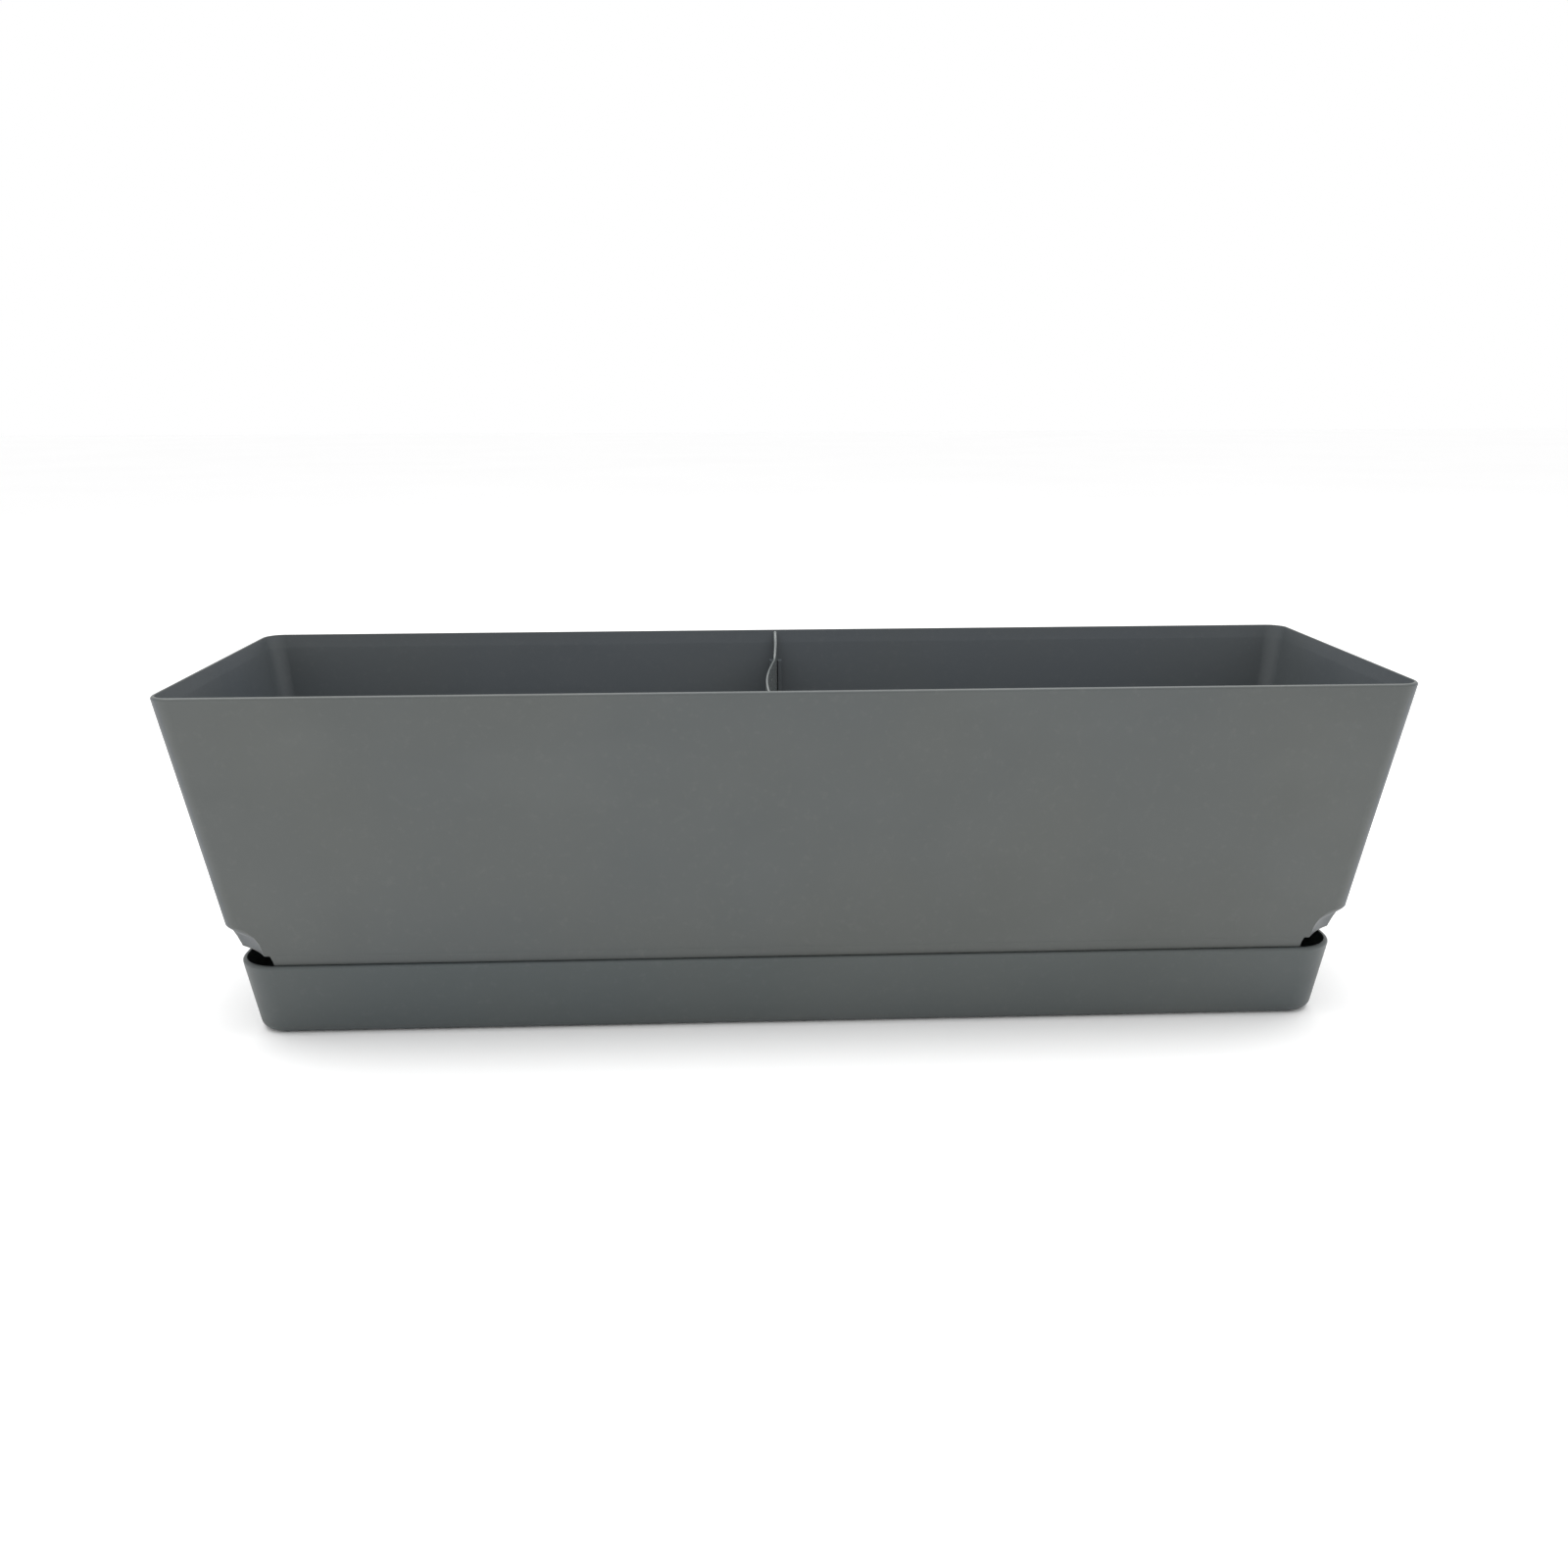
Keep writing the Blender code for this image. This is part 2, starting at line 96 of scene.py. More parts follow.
BRACE_THICKNESS = 0.0018
BRACE_END_X = -0.0038     # where the brace meets the walls
BRACE_BOW = 0.0070        # how far its middle stands to the left of its ends
BRACE_STRAIGHT = 0.92     # share of the way to each wall where the bow ends, inside the guides
BRACE_DEPTH = 0.0560
BRACE_ARCH = 0.0120       # how far the lower edge rises at the middle
BRACE_DIP = 0.0140        # how far the top edge drops past the shoulders
BRACE_SHOULDER = 0.0160   # how far the shoulders reach from the walls
BRACE_THINNING = 0.30     # share of its thickness that the web loses past its shoulders
BRACE_TOP = HEIGHT - 0.0006
GUIDE_REACH = 0.0065      # how far the guides stand off the wall
GUIDE_RIB = 0.0022        # thickness of a guide on each side of its slot
GUIDE_SKIN = 0.0003       # what the slot leaves of the guide on the wall
GUIDE_ROUND = 0.0007
GUIDE_SLOT_REACH = 1.4 * GUIDE_REACH   # the slot's cutter stands this far off the wall
GUIDE_TOP = HEIGHT - 0.0170
GUIDE_STOP = 0.0030       # the closed foot of the slot

BASKET_XS = (-0.205, -0.075, 0.075, 0.205)
BASKET_HOLE = 0.0210
BASKET_FLANGE = 0.0265
BASKET_RIM = 0.0016
BASKET_FOOT = 0.0165
BASKET_BOTTOM = 0.0045
BASKET_WALL = 0.0016
BASKET_DRAIN = 0.0040
BASKET_EDGE = 0.0005      # rounding of the flange's edge
BASKET_INNER_ROUND = 0.0012
SLOT_WIDTH = 0.0034
SLOT_LOW = 0.0110
SLOT_HIGH = 0.0380
SLOT_PAIRS = 4
WICK_WIDTH = 0.0220
WICK_THICKNESS = 0.0030
WICK_EDGE = 0.0011        # rounding of the strip's edges
WICK_BEND = 0.0060        # radius of the bend at the top of the basket
WICK_DROP = (0.0290, 0.0400)  # from the basket's axis, where the strip comes down off the flange
WICK_REACH = 0.0580       # from the basket's axis to the strip's end
WICK_FUZZ = 0.00016       # unevenness of the felt's surface
WICK_LUMP_SCALE = 900.0   # lumps to the metre
WICK_LUMP_SHARE = 0.9     # share of the fuzz that the lumps take up
WICK_SEED = 1             # not 0, which stands for the clock
WICK_SEED_STEP = 7.0      # keeps the strips' lumps unlike each other

FLOOR_REACH = 12.0
LIGHT_PLACE = (0.0, 0.10, 1.5)
LIGHT_TARGET = (0.0, 0.0, 0.1)
LIGHT_SIZE = (2.2, 0.9)
LIGHT_POWER = 24.0        # in watts
CAMERA_PLACE = (-0.0290, -0.7158, 0.3135)
CAMERA_TURN = (2.152, 15.785, -0.232)   # yaw, pitch down and roll, in degrees
CAMERA_LENS = 31.5        # in millimetres, as the sensor
CAMERA_SENSOR = 36.0
CAMERA_NEAR = 0.01

CORNER_STEPS = 16
END_STEPS = 32
BRACE_STEPS = 64
ROUND_STEPS = 72
SMALL_STEPS = 28
EDGE_STEPS = 6
WALL_STEPS = 14
FILLET_STEPS = 8
TURN_STEPS = 8            # on half of the brace's edge
SLOT_STEPS = 10           # on half of a slot's end
BEND_STEPS = 12
DROP_STEPS = 16
STRIP_STEPS = 15
STRIP_EDGE_STEPS = 3
WICK_SPACING = 0.0012


# Meshes

def share(start, end, value):
    """How far value is from start to end, kept between 0 and 1."""
    return min(1.0, max(0.0, (value - start) / (end - start)))


def smooth_step(start, end, value):
    t = share(start, end, value)
    return t * t * (3.0 - 2.0 * t)


def circle(radius, z, x, y, steps):
    angles = [math.tau * i / steps for i in range(steps)]
    return [(x + radius * math.cos(a), y + radius * math.sin(a), z) for a in angles]


def quarter(radius, steps=EDGE_STEPS):
    """(in, up) along a quarter round, from the side face to the top."""
    angles = [math.pi / 2 * i / steps for i in range(steps + 1)]
    return [(radius * (1.0 - math.cos(a)), radius * math.sin(a)) for a in angles]


def rounded_ring(half_length, half_width, corner, z, scoop=0.0, cut=0.0, reach=None):
    """A rounded rectangle at height z, anticlockwise from above, with scooped ends.

    Its corners are round at a cut of 0 and straight at a cut of 1. They run for reach along
    the long sides, which is the same as corner along the ends if it isn't given.
    """
    reach = corner if reach is None else reach
    inner_x = half_length - reach
    inner_y = half_width - corner
    ring = []
    for turn, (side_x, side_y) in enumerate(((1, 1), (-1, 1), (-1, -1), (1, -1))):
        for step in range(CORNER_STEPS + 1):
            t = step / CORNER_STEPS
            start = turn * math.pi / 2
            turned = start + t * math.pi / 2
            along_x = math.cos(start) - t * (math.cos(start) + math.sin(start))
            along_y = math.sin(start) + t * (math.cos(start) - math.sin(start))
            x = side_x * inner_x + reach * ((1.0 - cut) * math.cos(turned) + cut * along_x)
            y = side_y * inner_y + corner * ((1.0 - cut) * math.sin(turned) + cut * along_y)
            ring.append((x, y, z))
        if side_x == side_y:
            continue
        for step in range(1, END_STEPS):
            t = 1.0 - 2.0 * step / END_STEPS
            dip = scoop * (0.5 + 0.5 * math.cos(math.pi * t))
            ring.append((side_x * (half_length - dip), side_y * inner_y * t, z))
    return ring


def loft(bm, rings):
    """Join rings of equal count, and close the first and the last with flat caps."""
    levels = [[bm.verts.new(point) for point in ring] for ring in rings]
    count = len(levels[0])
    for lower, upper in zip(levels, levels[1:]):
        for i in range(count):
            j = (i + 1) % count
            bm.faces.new((lower[i], lower[j], upper[j], upper[i]))
    bm.faces.new(levels[0])
    bm.faces.new(levels[-1])


def new_object(name, fill, *details):
    bm = bmesh.new()
    fill(bm, *details)
    bmesh.ops.recalc_face_normals(bm, faces=bm.faces)
    mesh = bpy.data.meshes.new(name)
    bm.to_mesh(mesh)
    bm.free()
    thing = bpy.data.objects.new(name, mesh)
    bpy.context.scene.collection.objects.link(thing)
    return thing


def evaluated_mesh(thing):
    bpy.context.view_layer.update()
    depsgraph = bpy.context.evaluated_depsgraph_get()
    return bpy.data.meshes.new_from_object(thing.evaluated_get(depsgraph))


def shape_with(target, steps):
    """Apply (operation, solid) Booleans to target in order, and remove the solids."""
    for operation, solid in steps:
        modifier = target.modifiers.new(operation.title(), "BOOLEAN")
        modifier.operation = operation
        modifier.solver = "EXACT"
        modifier.object = solid
    mesh = evaluated_mesh(target)
    target.modifiers.clear()
    target.data = mesh
    for _, solid in steps:
        bpy.data.objects.remove(solid, do_unlink=True)


def finish_surface(thing, material, degrees=32.0):
    mesh = thing.data
    if not mesh.materials:
        mesh.materials.append(material)
    mesh.shade_smooth()
    mesh.set_sharp_from_angle(angle=math.radians(degrees))
    normals = thing.modifiers.new("Face weighted normals", "WEIGHTED_NORMAL")
    normals.keep_sharp = True
    normals.weight = 80


def fill_cylinder(bm, radius, low, high, x, y, steps):
    loft(bm, [circle(radius, low, x, y, steps), circle(radius, high, x, y, steps)])


# The trough

def trough_half_length(z):
    inset = COVE_INSET * smooth_step(COVE_TOP, COVE_FOOT, z)
    return LENGTH / 2 - TAPER * (HEIGHT - z) - inset


def trough_half_width(z):
    return WIDTH / 2 - TAPER * (HEIGHT - z)


def trough_corner(z):
    """How far the corner runs along the end, and along the front or back."""
    plain = RIM_CORNER - CORNER_TAPER * (HEIGHT - z)
    down = share(COVE_TOP, FLOOR_Z, z)
    bulge = math.sqrt(1.0 - (1.0 - down) ** 2)
    return plain + (COVE_CORNER - plain) * down, plain + (COVE_CORNER - plain) * bulge


def trough_ring(z, inset, at=None):
    """The trough's outline as it is at height z, moved in by inset and drawn at height at."""
    scoop = SCOOP_DEPTH * smooth_step(SCOOP_TOP, FLOOR_Z, z)
    cut = COVE_CUT * smooth_step(COVE_TOP, COVE_CREASE, z)
    corner, reach = trough_corner(z)
    return rounded_ring(trough_half_length(z) - inset, trough_half_width(z) - inset, corner - inset,
                        z if at is None else at, scoop, cut, reach - inset)


def fill_trough(bm):
    """Up the outside, over the rounded rim, and down the inside to the floor."""
    foot = FLOOR_Z + FLOOR_EDGE
    cove = [foot + (COVE_TOP - foot) * i / WALL_STEPS for i in range(WALL_STEPS + 1)]
    scoop = [COVE_TOP + (SCOOP_TOP - COVE_TOP) * i / WALL_STEPS for i in range(1, WALL_STEPS + 1)]
    levels = cove + scoop
    floor_top = FLOOR_Z + WALL
    rings = [trough_ring(foot, inset, foot - up)
             for inset, up in reversed(quarter(FLOOR_EDGE)[1:])]
    rings += [trough_ring(z, 0.0) for z in levels]
    rings += [trough_ring(HEIGHT, inset, HEIGHT - RIM_ROUND + up) for inset, up in quarter(RIM_ROUND)]
    rings += [trough_ring(HEIGHT, RIM_LIP - inset, HEIGHT - RIM_INNER_ROUND + up)
              for inset, up in reversed(quarter(RIM_INNER_ROUND, 3))]
    step = HEIGHT - RIM_STEP
    rings += [trough_ring(step, RIM_LIP), trough_ring(step, WALL, step - RIM_STEP_SLOPE)]
    rings += [trough_ring(z, WALL) for z in reversed(levels) if z > floor_top + 2 * FLOOR_FILLET]
    for inset, up in quarter(FLOOR_FILLET):
        rings.append(trough_ring(floor_top + FLOOR_FILLET, WALL + inset, floor_top + FLOOR_FILLET - up))
    loft(bm, rings)


def fill_skirt(bm, side):
    """The skirt under a long wall, stepped in to pass inside the tray's rim, with arched ends."""
    top = trough_half_width(SKIRT_TOP) - SKIRT_SINK
    step = trough_half_width(SKIRT_STEP) - SKIRT_SINK
    foot = trough_half_width(SKIRT_FOOT) - SKIRT_STEP_IN
    behind = SKIRT_STEP_IN + WALL
    arch = [math.sin(math.pi / 2 * i / EDGE_STEPS) for i in range(EDGE_STEPS + 1)]
    section = [(top + (step - top) * i / EDGE_STEPS, SKIRT_TOP + (SKIRT_STEP - SKIRT_TOP) * i / EDGE_STEPS,
                SKIRT_ARCH * (1.0 - arch[i])) for i in range(EDGE_STEPS + 1)]
    section += [(step - SKIRT_STEP_IN, SKIRT_STEP, 0.0), (foot, SKIRT_FOOT, -SKIRT_ARCH),
                (foot - WALL, SKIRT_FOOT, -SKIRT_ARCH), (step - behind, SKIRT_STEP, 0.0),
                (top - behind, SKIRT_TOP, SKIRT_ARCH)]
    loft(bm, [[(end * (SKIRT_HALF_LENGTH + out), side * y, z) for y, z, out in section]
              for end in (-1, 1)])


def fill_leg(bm, x, y):
    """A hollow leg, open below, that stands on the tray's floor."""
    foot = TRAY_FLOOR + GAP
    sections = ((LEG_RADIUS, FLOOR_Z + WALL / 2), (LEG_RADIUS - LEG_DRAFT, foot),
                (LEG_RADIUS - LEG_DRAFT - WALL, foot), (LEG_RADIUS - WALL, FLOOR_Z - WALL))
    loft(bm, [circle(radius, z, x, y, 2 * SMALL_STEPS) for radius, z in sections])


def guide_box(side, half_thickness, proud, sunk, low, high):
    """Two rings of a block on a long wall, from proud of its inner face to sunk behind it."""
    left, right = BRACE_END_X - half_thickness, BRACE_END_X + half_thickness
    rings = []
    for z in (low, high):
        face = trough_half_width(z) - WALL
        near, far = side * (face - proud), side * (face + sunk)
        rings.append([(left, near, z), (right, near, z), (right, far, z), (left, far, z)])
    return rings


def fill_guide(bm, side):
    low = BRACE_TOP - BRACE_DEPTH - GAP - GUIDE_STOP
    half = BRACE_THICKNESS / 2 + GAP + GUIDE_RIB
    loft(bm, guide_box(side, half, GUIDE_REACH, WALL / 2, low, GUIDE_TOP))
    upright = [edge for edge in bm.edges if abs(edge.verts[0].co.z - edge.verts[1].co.z) > GUIDE_STOP]
    bmesh.ops.bevel(bm, geom=upright, offset=GUIDE_ROUND, segments=3, affect="EDGES",
                    clamp_overlap=True)


def fill_guide_slot(bm, side):
    low = BRACE_TOP - BRACE_DEPTH - GAP
    half = BRACE_THICKNESS / 2 + GAP
    loft(bm, guide_box(side, half, GUIDE_SLOT_REACH, -GUIDE_SKIN, low, GUIDE_TOP + GUIDE_RIB))


def paint_inside_shade(mesh, outside, inside):
    """The faces above the floor and within the walls get the inside's plastic, a darker and bluer copy of
    the outside's that is painted shade.
    """
    mesh.materials.clear()
    mesh.materials.append(outside)
    mesh.materials.append(inside)
    for face in mesh.polygons:
        x, y, z = face.center
        within = trough_half_length(z) - abs(x) > WALL / 2 and trough_half_width(z) - abs(y) > WALL / 2
        lip = z > HEIGHT - RIM_INNER_ROUND
        face.material_index = int(z > FLOOR_Z + WALL / 2 and within and not lip)


def make_trough(material, inside):
    trough = new_object("trough_shell", fill_trough)
    steps = []
    for side in (-1, 1):
        steps.append(("UNION", new_object("skirt", fill_skirt, side)))
        steps.append(("UNION", new_object("guide", fill_guide, side)))
        steps.append(("DIFFERENCE", new_object("guide_slot", fill_guide_slot, side)))
    for x in LEG_XS:
        for y in (-LEG_Y, LEG_Y):
            steps.append(("UNION", new_object("leg", fill_leg, x, y)))
    low, high = FLOOR_Z - WALL, FLOOR_Z + 2 * WALL
    for x in BASKET_XS:
        steps.append(("DIFFERENCE", new_object("hole", fill_cylinder, BASKET_HOLE, low, high, x, 0.0,
                                               ROUND_STEPS)))
    for x in DRAIN_XS:
        for y in (-DRAIN_Y, DRAIN_Y):
            steps.append(("DIFFERENCE", new_object("hole", fill_cylinder, DRAIN_RADIUS, low, high, x, y,
                                                   SMALL_STEPS)))
    shape_with(trough, steps)
    # The inside's faces get the darker copy of the plastic, which is painted shade.
    paint_inside_shade(trough.data, material, inside)
    finish_surface(trough, material)
    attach(trough, "trough")
    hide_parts("planter_box")


# The tray

def tray_ring(z, inset, at=None):
    """The tray's outline as it is at height z, moved in by inset and drawn at height at."""
    below = max(0.0, TRAY_FILLET - z)
    fillet = TRAY_FILLET - math.sqrt(TRAY_FILLET ** 2 - below ** 2)
    length = TRAY_LENGTH / 2 - TRAY_END_TAPER * (TRAY_HEIGHT - z) - fillet - inset
    width = TRAY_WIDTH / 2 - TRAY_SIDE_TAPER * (TRAY_HEIGHT - z) - fillet - inset
    corner = TRAY_CORNER - TRAY_END_TAPER * (TRAY_HEIGHT - z) - fillet / 2 - inset
    return rounded_ring(length, width, corner, z if at is None else at)


def fill_tray(bm):
    """Round lower edge, leaning walls, a rounded rim, and a filleted inside."""
    turns = [math.pi / 2 * i / FILLET_STEPS for i in range(FILLET_STEPS + 1)]
    rings = [tray_ring(TRAY_FILLET * (1.0 - math.cos(a)), 0.0) for a in turns]
    rings += [tray_ring(TRAY_HEIGHT, inset, TRAY_HEIGHT - TRAY_ROUND + up)
              for inset, up in quarter(TRAY_ROUND)]
    rings += [tray_ring(TRAY_HEIGHT, TRAY_WALL + TRAY_BEAD - inset, TRAY_HEIGHT - TRAY_EDGE + up)
              for inset, up in reversed(quarter(TRAY_EDGE, 4))]
    rings += [tray_ring(TRAY_HEIGHT - TRAY_WALL, TRAY_WALL)]
    rings += [tray_ring(TRAY_INNER_FOOT, TRAY_WALL)]
    flatten = (TRAY_INNER_FOOT - TRAY_FLOOR) / TRAY_INNER_ROUND
    rings += [tray_ring(TRAY_INNER_FOOT, TRAY_WALL + inset, TRAY_INNER_FOOT - up * flatten)
              for inset, up in quarter(TRAY_INNER_ROUND)[1:]]
    loft(bm, rings)


def make_tray(material):
    tray = new_object("tray_shell", fill_tray)
    finish_surface(tray, material)
    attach(tray, "tray")
    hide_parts("reservoir_tray")


# The brace

def brace_edges(t):
    """Heights of the web's lower and upper edge, at t from -1 at the front wall to 1 at the back."""
    low = BRACE_TOP - BRACE_DEPTH + BRACE_ARCH * math.cos(math.pi / 2 * t) ** 2
    from_wall = (1.0 - abs(t)) * WIDTH / 2
    high = BRACE_TOP - BRACE_DIP * smooth_step(0.0, BRACE_SHOULDER, from_wall)
    return low, high


def fill_brace(bm):
    """A web that is bowed sideways, thinner past its shoulders, with rounded edges."""
    turns = [math.pi * i / TURN_STEPS for i in range(TURN_STEPS + 1)]
    rings = []
    for station in range(BRACE_STEPS + 1):
        t = math.sin(math.pi / 2 * (2.0 * station / BRACE_STEPS - 1.0))
        low, high = brace_edges(t)
        thinned = smooth_step(0.0, BRACE_SHOULDER, (1.0 - abs(t)) * WIDTH / 2)
        half = BRACE_THICKNESS / 2 * (1.0 - BRACE_THINNING * thinned)
        inward = min(1.0, abs(t) / BRACE_STRAIGHT)
        middle = BRACE_END_X - BRACE_BOW * math.cos(math.pi / 2 * inward)
        lean = math.copysign(BRACE_BOW * math.pi / 2 * math.sin(math.pi / 2 * inward), t)
        levels = [(half * math.cos(a), high - half + half * math.sin(a)) for a in turns]
        levels += [(-half * math.cos(a), low + half - half * math.sin(a)) for a in turns]
        ring = []
        for out, z in levels:
            reach = trough_half_width(z) - WALL - GUIDE_SKIN - GAP
            across = Vector((reach, -lean)).normalized() * out
            ring.append((middle + across.x, t * reach + across.y * (1.0 - t * t), z))
        rings.append(ring)
    loft(bm, rings)


def make_brace(material):
    brace = new_object("brace_web", fill_brace)
    finish_surface(brace, material)
    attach(brace, "brace")
    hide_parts("cross_brace")


# The wick baskets and their felt

def basket_section():
    """(radius, z) from the inside bottom, over the rounded flange, to the outside bottom."""
    seat = FLOOR_Z + WALL + GAP
    top = seat + BASKET_RIM
    neck = BASKET_HOLE - GAP
    inside = BASKET_BOTTOM + BASKET_WALL
    lip = neck - BASKET_WALL
    foot = BASKET_FOOT
    corner = foot - BASKET_WALL
    section = [(0.0, inside), (corner - BASKET_INNER_ROUND, inside), (corner, inside + BASKET_INNER_ROUND)]
    section += [(lip + inset, top - BASKET_EDGE + up) for inset, up in quarter(BASKET_EDGE, 3)]
    section += [(BASKET_FLANGE - inset, top - BASKET_EDGE + up)
                for inset, up in reversed(quarter(BASKET_EDGE, 3))]
    section += [(BASKET_FLANGE, seat), (neck, seat), (foot, BASKET_BOTTOM + BASKET_EDGE),
                (foot - BASKET_EDGE, BASKET_BOTTOM), (0.0, BASKET_BOTTOM)]
    return section


def fill_basket(bm):
    """The section turned about the axis."""
    section = basket_section()
    columns = []
    for step in range(ROUND_STEPS):
        angle = math.tau * step / ROUND_STEPS
        columns.append([bm.verts.new((r * math.cos(angle), r * math.sin(angle), z))
                        for r, z in section[1:-1]])
    top = bm.verts.new((0.0, 0.0, section[0][1]))
    bottom = bm.verts.new((0.0, 0.0, section[-1][1]))
    for near, far in zip(columns, columns[1:] + columns[:1]):
        bm.faces.new((top, near[0], far[0]))
        bm.faces.new((bottom, far[-1], near[-1]))
        for i in range(len(near) - 1):
            bm.faces.new((near[i], near[i + 1], far[i + 1], far[i]))


def fill_slot_pair(bm, angle):
    """A bar through the axis with rounded slot ends, which cuts two slots opposite each other."""
    half = SLOT_WIDTH / 2
    turns = [math.pi * i / SLOT_STEPS for i in range(SLOT_STEPS + 1)]
    outline = [(half * math.cos(a), SLOT_HIGH - half + half * math.sin(a)) for a in turns]
    outline += [(-half * math.cos(a), SLOT_LOW + half - half * math.sin(a)) for a in turns]
    along = (math.cos(angle), math.sin(angle))
    loft(bm, [[(reach * along[0] - v * along[1], reach * along[1] + v * along[0], z) for v, z in outline]
              for reach in (-BASKET_FLANGE, BASKET_FLANGE)])


def make_baskets(material):
    master = new_object("basket_turned", fill_basket)
    steps = [("DIFFERENCE", new_object("slot", fill_slot_pair, (pair + 0.5) * math.pi / SLOT_PAIRS))
             for pair in range(SLOT_PAIRS)]
    steps.append(("DIFFERENCE", new_object("drain", fill_cylinder, BASKET_DRAIN, 0.0,
                                           BASKET_BOTTOM + 2 * BASKET_WALL, 0.0, 0.0, SMALL_STEPS)))
    shape_with(master, steps)
    mesh = master.data
    bpy.data.objects.remove(master, do_unlink=True)
    for number, x in enumerate(BASKET_XS, start=1):
        basket = bpy.data.objects.new(f"basket_{number}_shell", mesh)
        basket.location = (x, 0.0, 0.0)
        bpy.context.scene.collection.objects.link(basket)
        finish_surface(basket, material)
        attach(basket, f"basket_{number}")
        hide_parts(f"wick_basket_{number}")


def wick_path():
    """The strip's middle line, evenly spaced: up the basket, over its flange and along the floor."""
    foot = BASKET_BOTTOM + BASKET_WALL + 2 * GAP
    rest = FLOOR_Z + WALL + GAP + WICK_THICKNESS / 2
    over = rest + GAP + BASKET_RIM
    bend = over - WICK_BEND
    corners = [(0.0, foot), (0.0, bend)]
    for step in range(1, BEND_STEPS + 1):
        angle = step / BEND_STEPS * math.pi / 2
        corners.append((WICK_BEND * (1.0 - math.cos(angle)), bend + WICK_BEND * math.sin(angle)))
    for step in range(DROP_STEPS + 1):
        x = WICK_DROP[0] + (WICK_DROP[1] - WICK_DROP[0]) * step / DROP_STEPS
        corners.append((x, over + (rest - over) * smooth_step(*WICK_DROP, x)))
    corners.append((WICK_REACH, rest))
    points = [Vector(corner) for corner in corners]
    path = [points[0]]
    for start, end in zip(points, points[1:]):
        count = max(1, round((end - start).length / WICK_SPACING))
        path += [start.lerp(end, i / count) for i in range(1, count + 1)]
    return path


def fill_wick(bm, side, seed):
    """A strip with soft rounded edges and an uneven, fibrous surface."""
    path = wick_path()
    half = WICK_THICKNESS / 2 - WICK_FUZZ
    wide = WICK_WIDTH / 2 - WICK_FUZZ
    outline = []
    for turn, (side_y, side_n) in enumerate(((1, 1), (-1, 1), (-1, -1), (1, -1))):
        for step in range(STRIP_EDGE_STEPS + 1):
            angle = (turn + step / STRIP_EDGE_STEPS) * math.pi / 2
            outline.append((side_y * (wide - WICK_EDGE) + WICK_EDGE * math.cos(angle),
                            side_n * (half - WICK_EDGE) + WICK_EDGE * math.sin(angle)))
        if side_n == side_y:
            span = [1.0 - 2.0 * i / STRIP_STEPS for i in range(1, STRIP_STEPS)]
            outline += [(side_y * (wide - WICK_EDGE) * s, side_n * half) for s in span]
    rings = []
    for i, point in enumerate(path):
        before, after = path[max(0, i - 1)], path[min(len(path) - 1, i + 1)]
        along = (after - before).normalized()
        normal = Vector((-along.y, along.x))
        ring = []
        for y, out in outline:
            place = Vector((point.x, y, point.y)) + out * Vector((normal.x, 0.0, normal.y))
            offset = Vector((seed * WICK_SEED_STEP, 0.0, 0.0))
            jitter = noise.noise_vector(place * WICK_LUMP_SCALE + offset)
            place += WICK_FUZZ * WICK_LUMP_SHARE * jitter
            ring.append((side * place.x, place.y, place.z))
        rings.append(ring)
    loft(bm, rings)


def make_wicks(material):
    noise.seed_set(WICK_SEED)   # noise_vector takes its seed from the clock otherwise
    path = wick_path()
    for number, x in enumerate(BASKET_XS, start=1):
        side = -1 if number in (2, 4) else 1
        wick = new_object(f"felt_strip_{number}", fill_wick, side, number)
        wick.location = (x, 0.0, 0.0)
        finish_surface(wick, material, 70.0)
        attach(wick, f"basket_{number}")
        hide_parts(f"wick_strip_{number}")


# Materials

def add_node(tree, kind, **settings):
    node = tree.nodes.new(kind)
    for key, value in settings.items():
        if key in node.inputs.keys():
            node.inputs[key].default_value = value
        else:
            setattr(node, key, value)
    return node


def new_material(name, **sockets):
    material = bpy.data.materials.new(name)
    material.use_nodes = True
    shader = material.node_tree.nodes["Principled BSDF"]
    for key, value in sockets.items():
        shader.inputs[key.replace("_", " ")].default_value = value
    return material, material.node_tree, shader


def noise_field(tree, place, scale, detail, stretch=(1.0, 1.0, 1.0), roughness=0.5):
    """Noise over the object, in metres, with scale waves to the metre."""
    mapping = add_node(tree, "ShaderNodeMapping")
    mapping.inputs["Scale"].default_value = stretch
    tree.links.new(place, mapping.inputs["Vector"])
    field = add_node(tree, "ShaderNodeTexNoise", Scale=scale, Detail=detail, Roughness=roughness)
    tree.links.new(mapping.outputs["Vector"], field.inputs["Vector"])
    return field.outputs["Fac"]


def remap(tree, value, low, high, to_low, to_high):
    node = add_node(tree, "ShaderNodeMapRange")
    for key, number in (("From Min", low), ("From Max", high), ("To Min", to_low), ("To Max", to_high)):
        node.inputs[key].default_value = number
    tree.links.new(value, node.inputs["Value"])
    return node.outputs["Result"]


def mix_colour(tree, factor, first, second):
    """first and second are each a colour or a socket."""
    node = add_node(tree, "ShaderNodeMix", data_type="RGBA", blend_type="MIX")
    tree.links.new(factor, node.inputs["Factor"])
    for socket, colour in ((node.inputs[6], first), (node.inputs[7], second)):
        if isinstance(colour, tuple):
            socket.default_value = (*colour, 1.0)
        else:
            tree.links.new(colour, socket)
    return node.outputs[2]


def bump(tree, height, distance, strength, before=None):
    node = add_node(tree, "ShaderNodeBump", Distance=distance, Strength=strength)
    tree.links.new(height, node.inputs["Height"])
    if before:
        tree.links.new(before, node.inputs["Normal"])
    return node.outputs["Normal"]


